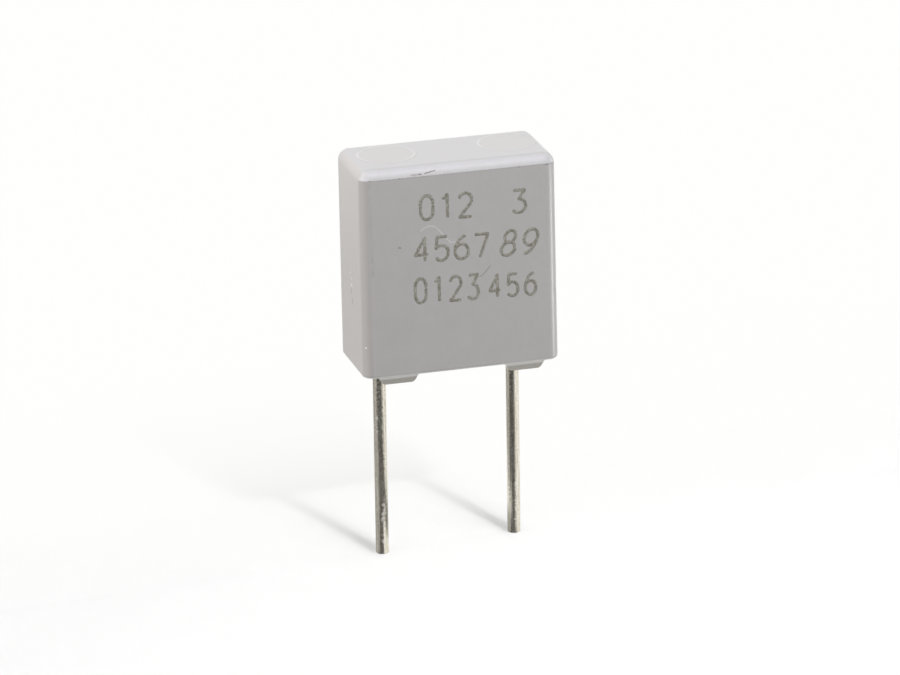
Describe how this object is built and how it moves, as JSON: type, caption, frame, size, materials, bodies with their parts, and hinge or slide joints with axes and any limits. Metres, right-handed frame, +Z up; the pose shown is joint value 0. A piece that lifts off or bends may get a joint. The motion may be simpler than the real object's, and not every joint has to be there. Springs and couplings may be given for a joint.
{
  "type": "box film capacitor",
  "caption": "Radial box film capacitor: a flat wound film roll with sprayed ends, potted in a moulded box on feet, with straight tinned wire leads.",
  "frame": {"origin": "midway between the two leads, on the seating plane where the feet meet the circuit board", "axes": "+X along the row of leads, from the left lead to the right one as seen from the front face; -Y out of the front face; +Z up, out of the top of the box; the leads point to -Z"},
  "size_m": [0.0073, 0.0034, 0.0151],
  "materials": {
    "moulded_plastic": "satin light grey moulded thermoplastic",
    "potting_resin": "glossy grey casting resin",
    "wound_film": "metallised polyester film, wound and pressed",
    "sprayed_metal": "rough sprayed zinc",
    "tinned_wire": "drawn wire with a bright tin coat",
    "print_ink": "thin olive grey stamped ink"
  },
  "bodies": {
    "root": {"case": "moulded_plastic", "resin_fill": "potting_resin", "film_winding": "wound_film", "end_spray_left": "sprayed_metal", "end_spray_right": "sprayed_metal", "lead_left": "tinned_wire", "lead_right": "tinned_wire"}
  },
  "joints": []
}
